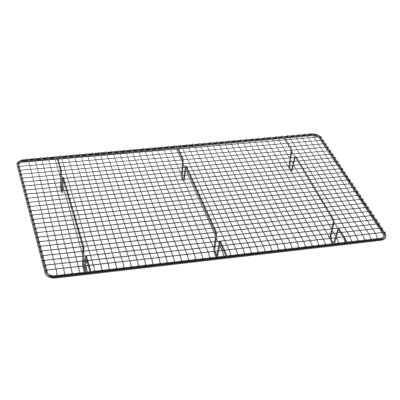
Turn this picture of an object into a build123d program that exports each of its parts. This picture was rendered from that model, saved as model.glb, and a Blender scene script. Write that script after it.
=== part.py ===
from build123d import *
import os

# Cooling rack of welded and coated steel wire, standing on six wire legs.
# Millimetres, +Z up, +X along the long side and -Y to the front.
# The origin is on the floor under the middle of the rack.

# Wire diameters
rim_wire = 4.6
grid_wire = 1.6
rail_wire = 2.8

# Corners of the rim, on the centre line of its wire: it is bent a little out of square
front_left = (-226.4, -130.1)
back_left = (-229.8, 127.2)
back_right = (226.4, 131.0)
front_right = (229.3, -128.9)
rim_corner_radius = 10.0

# Grid of long wires (along X) under short wires (along Y)
long_wire_count = 26
long_wire_pitch = 9.52
short_wire_count = 47
short_wire_pitch = 9.325
short_wires_per_group = 2
long_overhang = 1.8     # a long wire's run past the centre line of the rim
short_overhang = 0.8    # the same for a short wire
end_rounding = 0.3      # softened edge of a cut wire end
weld_set = 0.02         # how deep two wires sink into each other at a weld

# End of a short wire, which steps down from the long wires to the rim
step_start = 6.8        # from the rim's centre line to the top of the step
step_end = 2.2          # from the rim's centre line to the foot of the step
step_bend_radius = 8.0

# Leg rails, each with a back leg and a slightly wider front leg
rail_places = {"left": -172.7, "middle": 4.3, "right": 171.0}
rail_end_gap = 1.5      # from the rim's centre line to the cut end of a rail
back_leg_start = 94.3   # where the rail turns down into its back leg
back_leg_width = 15.9   # between the two bends at the leg's top
back_foot_inset = 1.0   # from the bend at the start to the foot's back corner, towards the front
back_foot_width = 10.9  # between the two corners of the foot, before rounding
front_leg_start = -80.5
front_leg_width = 17.2
front_foot_inset = -1.3
front_foot_width = 14.0
leg_drop = 31.5         # from the rail's centre line down to the foot's
top_bend_radius = 3.0
foot_bend_radius = 5.3

# Heights of the wire centre lines, built up from the floor
foot_z = rail_wire / 2
rail_z = foot_z + leg_drop
long_wire_z = rail_z + (rail_wire + grid_wire) / 2 - weld_set
rim_z = long_wire_z - (rim_wire + grid_wire) / 2 + weld_set
short_wire_z = long_wire_z + grid_wire - weld_set


def side_x(front, back, y):
    """The X at y of the rim's side between a front and a back corner."""
    share = (y - front[1]) / (back[1] - front[1])
    return front[0] + share * (back[0] - front[0])


def side_y(left, right, x):
    """The Y at x of the rim's side between a left and a right corner."""
    share = (x - left[0]) / (right[0] - left[0])
    return left[1] + share * (right[1] - left[1])


def make_rim_frame():
    """The rim: a closed loop of wire with round corners."""
    with BuildPart() as rim_frame:
        with BuildLine(Plane.XY.offset(rim_z)) as loop:
            FilletPolyline(
                front_left,
                back_left,
                back_right,
                front_right,
                radius=rim_corner_radius,
                close=True,
            )
        with BuildSketch(Plane(loop.line @ 0, z_dir=loop.line % 0)):
            Circle(rim_wire / 2)
        sweep(path=loop.line)
    return rim_frame


def make_long_wire(row):
    """One straight wire along X, laid over the left and right sides of the rim."""
    y = ((long_wire_count - 1) / 2 - row) * long_wire_pitch
    left_end = side_x(front_left, back_left, y) - long_overhang
    right_end = side_x(front_right, back_right, y) + long_overhang
    with BuildPart() as long_wire:
        with BuildSketch(Plane.YZ.offset(left_end)):
            with Locations((y, long_wire_z)):
                Circle(grid_wire / 2)
        extrude(amount=right_end - left_end)
        fillet(long_wire.edges().filter_by(GeomType.CIRCLE), end_rounding)
    return long_wire


def make_short_wires(first, last):
    """The short wires from number first to number last, as separate solids, welded on the long wires.

    Each end of a short wire steps down from the long wires to lie on the rim.
    """
    count = last - first + 1
    with BuildPart() as short_wires:
        for number in range(first, last + 1):
            x = (number - (short_wire_count - 1) / 2) * short_wire_pitch
            front_y = side_y(front_left, front_right, x)
            back_y = side_y(back_left, back_right, x)
            corners = [
                (front_y - short_overhang, long_wire_z),
                (front_y + step_end, long_wire_z),
                (front_y + step_start, short_wire_z),
                (back_y - step_start, short_wire_z),
                (back_y - step_end, long_wire_z),
                (back_y + short_overhang, long_wire_z),
            ]
            with BuildLine(Plane.YZ.offset(x)):
                FilletPolyline(*corners, radius=step_bend_radius)
            with BuildSketch(Plane.XZ.offset(short_overhang - front_y)):
                with Locations((x, long_wire_z)):
                    Circle(grid_wire / 2)
            sweep()
        fillet(short_wires.edges().sort_by(Axis.Y)[:count], end_rounding)
        fillet(short_wires.edges().sort_by(Axis.Y)[-count:], end_rounding)
    return short_wires


def leg_corners(start, leg_width, foot_inset, foot_width):
    """The four corners of one leg, from the bend at start, down round the foot and up again."""
    foot_back = start - foot_inset
    return [
        (start, rail_z),
        (foot_back, foot_z),
        (foot_back - foot_width, foot_z),
        (start - leg_width, rail_z),
    ]


def make_leg_rail(x):
    """A wire under the grid from back to front, bent down into two narrow legs with rounded feet."""
    front_y = side_y(front_left, front_right, x)
    back_y = side_y(back_left, back_right, x)
    leg_radii = [top_bend_radius, foot_bend_radius, foot_bend_radius, top_bend_radius]
    corners = [(back_y - rail_end_gap, rail_z)]
    corners += leg_corners(back_leg_start, back_leg_width, back_foot_inset, back_foot_width)
    corners += leg_corners(front_leg_start, front_leg_width, front_foot_inset, front_foot_width)
    corners += [(front_y + rail_end_gap, rail_z)]
    with BuildPart() as leg_rail:
        with BuildLine(Plane.YZ.offset(x)):
            FilletPolyline(*corners, radius=leg_radii + leg_radii)
        with BuildSketch(Plane.XZ.offset(rail_end_gap - back_y)):
            with Locations((x, rail_z)):
                Circle(rail_wire / 2)
        sweep()
        # Both ends are hollowed to fit the round side of the rim.
        with Locations((x, back_y, rim_z), (x, front_y, rim_z)):
            Cylinder(
                rim_wire / 2 - weld_set,
                2 * rim_wire,
                rotation=(0, 90, 0),
                mode=Mode.SUBTRACT,
            )
    return leg_rail


def save(piece, name):
    """Label a finished piece and write it to its own STEP file."""
    piece.part.label = name
    export_step(piece.part, f"parts/{name}.step")


os.makedirs("parts", exist_ok=True)

save(make_rim_frame(), "rim_frame")

for row in range(long_wire_count):
    save(make_long_wire(row), f"long_wire_{row + 1:02d}")

for first in range(0, short_wire_count, short_wires_per_group):
    last = min(first + short_wires_per_group, short_wire_count) - 1
    save(make_short_wires(first, last), f"short_wires_{first + 1:02d}_{last + 1:02d}")

for place, x in rail_places.items():
    save(make_leg_rail(x), f"leg_rail_{place}")
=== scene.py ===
import math

import bpy
from mathutils import Matrix, Vector


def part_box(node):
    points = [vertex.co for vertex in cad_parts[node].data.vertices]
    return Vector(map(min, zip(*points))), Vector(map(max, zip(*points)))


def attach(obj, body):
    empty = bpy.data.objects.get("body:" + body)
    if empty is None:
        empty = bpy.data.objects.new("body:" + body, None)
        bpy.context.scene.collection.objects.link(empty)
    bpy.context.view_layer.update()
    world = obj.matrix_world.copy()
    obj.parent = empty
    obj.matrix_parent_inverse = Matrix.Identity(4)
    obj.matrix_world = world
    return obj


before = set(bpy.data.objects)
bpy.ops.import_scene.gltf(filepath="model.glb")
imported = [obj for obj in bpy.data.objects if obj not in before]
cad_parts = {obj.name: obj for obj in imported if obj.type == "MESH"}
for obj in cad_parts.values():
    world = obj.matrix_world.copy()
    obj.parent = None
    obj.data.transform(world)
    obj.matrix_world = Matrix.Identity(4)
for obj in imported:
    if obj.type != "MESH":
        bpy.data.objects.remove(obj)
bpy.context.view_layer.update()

# The looks of a cooling rack of black coated steel wire: the camera, the studio,
# the coatings of the CAD wires, and the small fillets that the coating leaves at
# every weld. Metres, +Z up, +X along the long side and -Y to the front.
MM = 0.001
UP = Vector((0, 0, 1))

# Camera: it stands in front on the left, and looks down at the middle of the rack.
CAMERA_HEADING = math.radians(18.57)   # from +Y towards +X
CAMERA_DROP = math.radians(35.97)      # down from level
CAMERA_ROLL = math.radians(5.53)
CAMERA_DISTANCE = 1.478
CAMERA_LENS = 96.9
AIM_ASIDE = Vector((2.9 * MM, -4.0 * MM, 0))

# Studio
FLOOR_HALF_SIZE = 40.0
FLOOR_COLOUR = 0.2
FLOOR_GLOW = 0.92          # light that the floor gives off, so that it stays white
FLOOR_ROUGHNESS = 0.9
FLOOR_SHINE = 0.1
WORLD_BRIGHTNESS = 0.1

# Each softbox: its heading (degrees from the back towards the right) and height
# angle as seen from the rack, its width and height in metres, and its radiance.
LIGHT_DISTANCE = 3.0
LIGHTS = {
    "backdrop_left": (325, 22, 2.2, 2.0, 3.6),
    "backdrop_right": (15, 22, 2.2, 2.0, 3.6),
    "left_softbox": (278, 36, 1.15, 1.7, 22),
    "right_softbox": (86, 36, 1.3, 1.5, 11),
}

# Coating: its colours, and its shades as shares of the black
BLACK = (0.005, 0.005, 0.006)
WORN = (0.012, 0.012, 0.013)      # where it has been rubbed
TINT = (0.93, 0.91, 1.0)          # of its reflections
SHADES = (0.75, 1.3)              # in its darkest and its lightest clouds
ROUGHNESS = (0.16, 0.30)          # in its glossiest and its dullest clouds
WORN_ROUGHNESS = 0.15             # added where it has been rubbed

# Its noises: the size and the detail of each, and the noise from which it starts
# and at which it is full
SHADE_NOISE = (4 * MM, 4)
SHADE_RANGE = (0.35, 0.7)
GLOSS_NOISE = (9 * MM, 3)
GLOSS_RANGE = (0.3, 0.7)
WEAR_NOISE = (3 * MM, 6)
GRID_WEAR_RANGE = (0.45, 0.65)
FOOT_WEAR_RANGE = (0.35, 0.5)
CHIP_RANGE = (0.63, 0.70)

# Where it can be rubbed, from unworn to worn
RUBBED_TOP = (0.80, 0.97)           # the up part of the surface's normal
RUBBED_FOOT = (0.9 * MM, 0.1 * MM)  # the height above the floor

# Orange peel
PEEL_DETAIL = 2
PEEL_STRENGTH = 0.5

# Each slot's shine (its specular level), and the size and the depth of its orange peel
COATINGS = {
    "rim_coating": (0.5, 0.9 * MM, 0.05 * MM),
    "grid_coating": (0.36, 0.6 * MM, 0.03 * MM),
    "leg_coating": (0.36, 0.7 * MM, 0.04 * MM),
}

# Where the wires end, as in the CAD
LONG_OVERHANG = 1.8 * MM   # a long wire's run past the centre line of the rim
SHORT_OVERHANG = 0.8 * MM  # the same for a short wire
RAIL_END_GAP = 1.5 * MM    # from the rim's centre line to the cut end of a rail

# Weld fillets: the coating that has run into the corners between two crossed wires.
FILLET_STEPS = 24          # points round a fillet
FILLET_ROWS = 6            # rows of faces from the lower wire up to the upper one
FILLET_REACH = 0.9         # radius of a fillet, as a share of the upper wire's radius
FILLET_WAIST = 0.68        # width at the narrowest, as a share of the width at the wires
FILLET_SINK = 0.03 * MM    # depth of the fillet's edges inside the wires

# Bead round the end of a leg rail, where it is welded to the side of the rim:
# pairs of distance from the rim's centre line and radius, both in rim wire radii.
BEAD_PROFILE = [
    (1.36, 0.55),
    (1.20, 0.62),
    (0.98, 0.66),
    (0.74, 0.65),
    (0.50, 0.57),
    (0.28, 0.43),
    (0.12, 0.26),
]
CONTACT_GAP = 0.1 * MM     # two wires closer than this are welded together


def numbered(prefix):
    """The CAD nodes whose names start with prefix, in order."""
    return sorted(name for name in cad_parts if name.startswith(prefix))


def direction(heading, height):
    """A unit vector from a heading, in radians from +Y towards +X, and a height angle."""
    return Vector((
        math.cos(height) * math.sin(heading),
        math.cos(height) * math.cos(heading),
        math.sin(height),
    ))


def add_camera():
    """The camera, aimed a little beside the rack's middle at the height of its rim."""
    low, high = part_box("rim_frame")
    aim = Vector((0, 0, (low.z + high.z) / 2)) + AIM_ASIDE
    forward = direction(CAMERA_HEADING, -CAMERA_DROP)
    level = forward.cross(UP).normalized()
    right = Matrix.Rotation(-CAMERA_ROLL, 3, forward) @ level
    up = right.cross(forward)
    camera = bpy.data.objects.new("camera", bpy.data.cameras.new("camera"))
    camera.data.lens = CAMERA_LENS
    turn = Matrix((right, up, -forward)).transposed()
    camera.matrix_world = Matrix.Translation(aim - forward * CAMERA_DISTANCE) @ turn.to_4x4()
    bpy.context.scene.collection.objects.link(camera)
    bpy.context.scene.camera = camera


def add_light(name, heading, height, width, depth, radiance):
    """A softbox on a sphere round the rack, turned towards its middle."""
    lamp = bpy.data.lights.new(name, "AREA")
    lamp.shape = "RECTANGLE"
    lamp.size = width
    lamp.size_y = depth
    lamp.energy = radiance * math.pi * width * depth
    place = direction(math.radians(heading), math.radians(height))
    light = bpy.data.objects.new(name, lamp)
    light.rotation_euler = place.to_track_quat("Z", "Y").to_euler()
    light.location = LIGHT_DISTANCE * place
    light.visible_camera = False
    bpy.context.scene.collection.objects.link(light)


def add_floor():
    """A wide white floor, which belongs to the studio and not to the rack."""
    material = bpy.data.materials.new("floor")
    material.use_nodes = True
    shader = material.node_tree.nodes["Principled BSDF"]
    shader.inputs["Base Color"].default_value = (FLOOR_COLOUR,) * 3 + (1,)
    shader.inputs["Emission Color"].default_value = (1, 1, 1, 1)
    shader.inputs["Emission Strength"].default_value = FLOOR_GLOW
    shader.inputs["Roughness"].default_value = FLOOR_ROUGHNESS
    shader.inputs["Specular IOR Level"].default_value = FLOOR_SHINE
    half = FLOOR_HALF_SIZE
    mesh = bpy.data.meshes.new("floor")
    corners = [(-half, -half, 0), (half, -half, 0), (half, half, 0), (-half, half, 0)]
    mesh.from_pydata(corners, [], [(0, 1, 2, 3)])
    mesh.materials.append(material)
    floor = bpy.data.objects.new("floor", mesh)
    bpy.context.scene.collection.objects.link(floor)


def add_studio():
    """The world, the floor and the softboxes."""
    scene = bpy.context.scene
    scene.view_settings.view_transform = "Standard"
    world = bpy.data.worlds.new("studio")
    world.use_nodes = True
    background = world.node_tree.nodes["Background"]
    background.inputs["Color"].default_value = (1, 1, 1, 1)
    background.inputs["Strength"].default_value = WORLD_BRIGHTNESS
    scene.world = world
    add_floor()
    for name, values in LIGHTS.items():
        add_light(name, *values)


def coating(slot, shine, peel_size, peel_depth):
    """A black non-stick coating: cloudy in colour and gloss, with fine orange peel and some wear.

    The grid is rubbed along the top of its wires, the legs under their feet,
    and the rim in a few small chips.
    """
    material = bpy.data.materials.new(slot + "_finish")
    material.use_nodes = True
    nodes = material.node_tree.nodes
    links = material.node_tree.links
    shader = nodes["Principled BSDF"]
    where = nodes.new("ShaderNodeTexCoord")

    def noise(size, detail):
        node = nodes.new("ShaderNodeTexNoise")
        node.inputs["Scale"].default_value = 1 / size
        node.inputs["Detail"].default_value = detail
        links.new(where.outputs["Object"], node.inputs["Vector"])
        return node.outputs["Fac"]

    def remap(factor, start, end, low=0.0, high=1.0):
        node = nodes.new("ShaderNodeMapRange")
        node.inputs["From Min"].default_value = start
        node.inputs["From Max"].default_value = end
        node.inputs["To Min"].default_value = low
        node.inputs["To Max"].default_value = high
        links.new(factor, node.inputs["Value"])
        return node.outputs["Result"]

    def combine(operation, first, second):
        node = nodes.new("ShaderNodeMath")
        node.operation = operation
        links.new(first, node.inputs[0])
        links.new(second, node.inputs[1])
        return node.outputs["Value"]

    def upward(vector):
        node = nodes.new("ShaderNodeSeparateXYZ")
        links.new(vector, node.inputs["Vector"])
        return node.outputs["Z"]

    patches = noise(*WEAR_NOISE)
    if slot == "grid_coating":
        rubbed = remap(upward(where.outputs["Normal"]), *RUBBED_TOP)
        wear = combine("MULTIPLY", rubbed, remap(patches, *GRID_WEAR_RANGE))
    elif slot == "leg_coating":
        rubbed = remap(upward(where.outputs["Object"]), *RUBBED_FOOT)
        wear = combine("MULTIPLY", rubbed, remap(patches, *FOOT_WEAR_RANGE))
    else:
        wear = remap(patches, *CHIP_RANGE)

    ramp = nodes.new("ShaderNodeValToRGB")
    for stop, position, shade in zip(ramp.color_ramp.elements, SHADE_RANGE, SHADES):
        stop.position = position
        stop.color = tuple(shade * part for part in BLACK) + (1,)
    links.new(noise(*SHADE_NOISE), ramp.inputs["Fac"])
    mix = nodes.new("ShaderNodeMix")
    mix.data_type = "RGBA"
    colours = [socket for socket in mix.inputs if socket.type == "RGBA"]
    colours[1].default_value = WORN + (1,)
    links.new(ramp.outputs["Color"], colours[0])
    links.new(wear, mix.inputs["Factor"])
    blend = [socket for socket in mix.outputs if socket.type == "RGBA"][0]
    links.new(blend, shader.inputs["Base Color"])

    clouds = remap(noise(*GLOSS_NOISE), *GLOSS_RANGE, *ROUGHNESS)
    rougher = remap(wear, 0, 1, 0, WORN_ROUGHNESS)
    links.new(combine("ADD", clouds, rougher), shader.inputs["Roughness"])
    shader.inputs["Specular IOR Level"].default_value = shine
    shader.inputs["Specular Tint"].default_value = TINT + (1,)
    bump = nodes.new("ShaderNodeBump")
    bump.inputs["Strength"].default_value = PEEL_STRENGTH
    bump.inputs["Distance"].default_value = peel_depth
    links.new(noise(peel_size, PEEL_DETAIL), bump.inputs["Height"])
    links.new(bump.outputs["Normal"], shader.inputs["Normal"])
    return material


finishes = {slot: coating(slot, *values) for slot, values in COATINGS.items()}


def coat_cad_nodes():
    """Every CAD wire keeps its shape and gets the finish of its record slot."""
    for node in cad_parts.values():
        for place in node.material_slots:
            place.material = finishes[place.material.name.split(".")[0]]


def wire_middles(low_x, high_x, radius):
    """The X of the centre line of the one or two wires between low_x and high_x."""
    first = low_x + radius
    last = high_x - radius
    if last - first < radius:
        return [(first + last) / 2]
    return [first, last]


def fillet_shape(low_radius, high_radius):
    """One fillet with the weld at the origin, the lower wire along Y and the upper one along X."""
    reach = FILLET_REACH * high_radius
    points = []
    for row in range(FILLET_ROWS + 1):
        part = row / FILLET_ROWS
        width = reach * (1 - (1 - FILLET_WAIST) * math.sin(math.pi * part))
        climb = (1 - math.cos(math.pi * part)) / 2
        for step in range(FILLET_STEPS):
            turn = 2 * math.pi * step / FILLET_STEPS
            x = width * math.cos(turn)
            y = width * math.sin(turn)
            low_z = math.sqrt(low_radius ** 2 - x ** 2) - low_radius
            high_z = high_radius - math.sqrt(high_radius ** 2 - y ** 2)
            z = (1 - climb) * (low_z - FILLET_SINK) + climb * (high_z + FILLET_SINK)
            points.append(Vector((x, y, z)))
    return points


def ring_faces(rows, steps):
    """Quads between rows of rings, and one cap at each end."""
    faces = []
    for row in range(rows):
        for step in range(steps):
            near = row * steps + step
            far = row * steps + (step + 1) % steps
            faces.append((near, far, far + steps, near + steps))
    last = rows * steps
    faces.append(tuple(reversed(range(steps))))
    faces.append(tuple(range(last, last + steps)))
    return faces


def add_piece(name, slot, shapes):
    """One piece of the given shapes, each a list of points, its faces and its place.

    The quads are shaded smooth, and the caps flat.
    """
    points = []
    faces = []
    for shape, shape_faces, place in shapes:
        start = len(points)
        points += [place @ point for point in shape]
        faces += [tuple(start + corner for corner in face) for face in shape_faces]
    mesh = bpy.data.meshes.new(name)
    mesh.from_pydata(points, [], faces)
    for face in mesh.polygons:
        face.use_smooth = len(face.vertices) == 4
    mesh.materials.append(finishes[slot])
    piece = bpy.data.objects.new(name, mesh)
    bpy.context.scene.collection.objects.link(piece)
    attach(piece, "root")


def fillets(welds, low_radius, high_radius, upper_along_x):
    """A fillet's shape, faces and place for each weld point."""
    shape = fillet_shape(low_radius, high_radius)
    faces = ring_faces(FILLET_ROWS, FILLET_STEPS)
    turn = Matrix.Identity(4) if upper_along_x else Matrix.Rotation(math.pi / 2, 4, "Z")
    return [(shape, faces, Matrix.Translation(weld) @ turn) for weld in welds]


def end_bead(rail_x, rim_y, rail_z, rim_radius, inward):
    """The bead round one end of a rail; it narrows towards the rim's centre line at rim_y."""
    shape = []
    for distance, radius in BEAD_PROFILE:
        for step in range(FILLET_STEPS):
            turn = 2 * math.pi * step / FILLET_STEPS * inward
            shape.append(rim_radius * Vector((
                radius * math.sin(turn),
                inward * distance,
                radius * math.cos(turn),
            )))
    place = Matrix.Translation((rail_x, rim_y, rail_z))
    return shape, ring_faces(len(BEAD_PROFILE) - 1, FILLET_STEPS), place


def touches_rail(name, x, y, top):
    """Whether the rail's wire reaches up to its top at this place, rather than down into a leg."""
    start = Vector((x, y, top + CONTACT_GAP))
    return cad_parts[name].ray_cast(start, -UP, distance=2 * CONTACT_GAP)[0]


def add_welds():
    """Fillets and beads at all the welds, placed from the boxes of the CAD wires."""
    long_boxes = [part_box(name) for name in numbered("long_wire_")]
    rows = [(low.y + high.y) / 2 for low, high in long_boxes]
    low, high = long_boxes[0]
    grid_radius = (high.z - low.z) / 2
    crossing_z = high.z

    low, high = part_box("rim_frame")
    rim_radius = (high.z - low.z) / 2
    rim_top = high.z

    # Long wires on the left and right of the rim
    left = [(low.x + LONG_OVERHANG, y, rim_top) for (low, high), y in zip(long_boxes, rows)]
    right = [(high.x - LONG_OVERHANG, y, rim_top) for (low, high), y in zip(long_boxes, rows)]
    add_piece("rim_welds_left", "rim_coating", fillets(left, rim_radius, grid_radius, True))
    add_piece("rim_welds_right", "rim_coating", fillets(right, rim_radius, grid_radius, True))

    # Short wires on the long wires, one piece for each node, and on the front and back of the rim
    front = []
    back = []
    for name in numbered("short_wires_"):
        low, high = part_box(name)
        middles = wire_middles(low.x, high.x, grid_radius)
        front += [(x, low.y + SHORT_OVERHANG, rim_top) for x in middles]
        back += [(x, high.y - SHORT_OVERHANG, rim_top) for x in middles]
        welds = [(x, y, crossing_z) for x in middles for y in rows]
        shapes = fillets(welds, grid_radius, grid_radius, False)
        add_piece(name.replace("wires", "wire_welds"), "grid_coating", shapes)
    add_piece("rim_welds_front", "rim_coating", fillets(front, rim_radius, grid_radius, False))
    add_piece("rim_welds_back", "rim_coating", fillets(back, rim_radius, grid_radius, False))

    # Long wires on the leg rails, and the rails' ends on the rim
    for name in numbered("leg_rail_"):
        low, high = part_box(name)
        rail_radius = (high.x - low.x) / 2
        rail_x = (low.x + high.x) / 2
        rail_z = high.z - rail_radius
        welds = [(rail_x, y, high.z) for y in rows if touches_rail(name, rail_x, y, high.z)]
        shapes = fillets(welds, rail_radius, grid_radius, True)
        shapes.append(end_bead(rail_x, low.y - RAIL_END_GAP, rail_z, rim_radius, 1))
        shapes.append(end_bead(rail_x, high.y + RAIL_END_GAP, rail_z, rim_radius, -1))
        add_piece(name.replace("leg_rail", "rail_welds"), "leg_coating", shapes)


add_camera()
add_studio()
coat_cad_nodes()
add_welds()
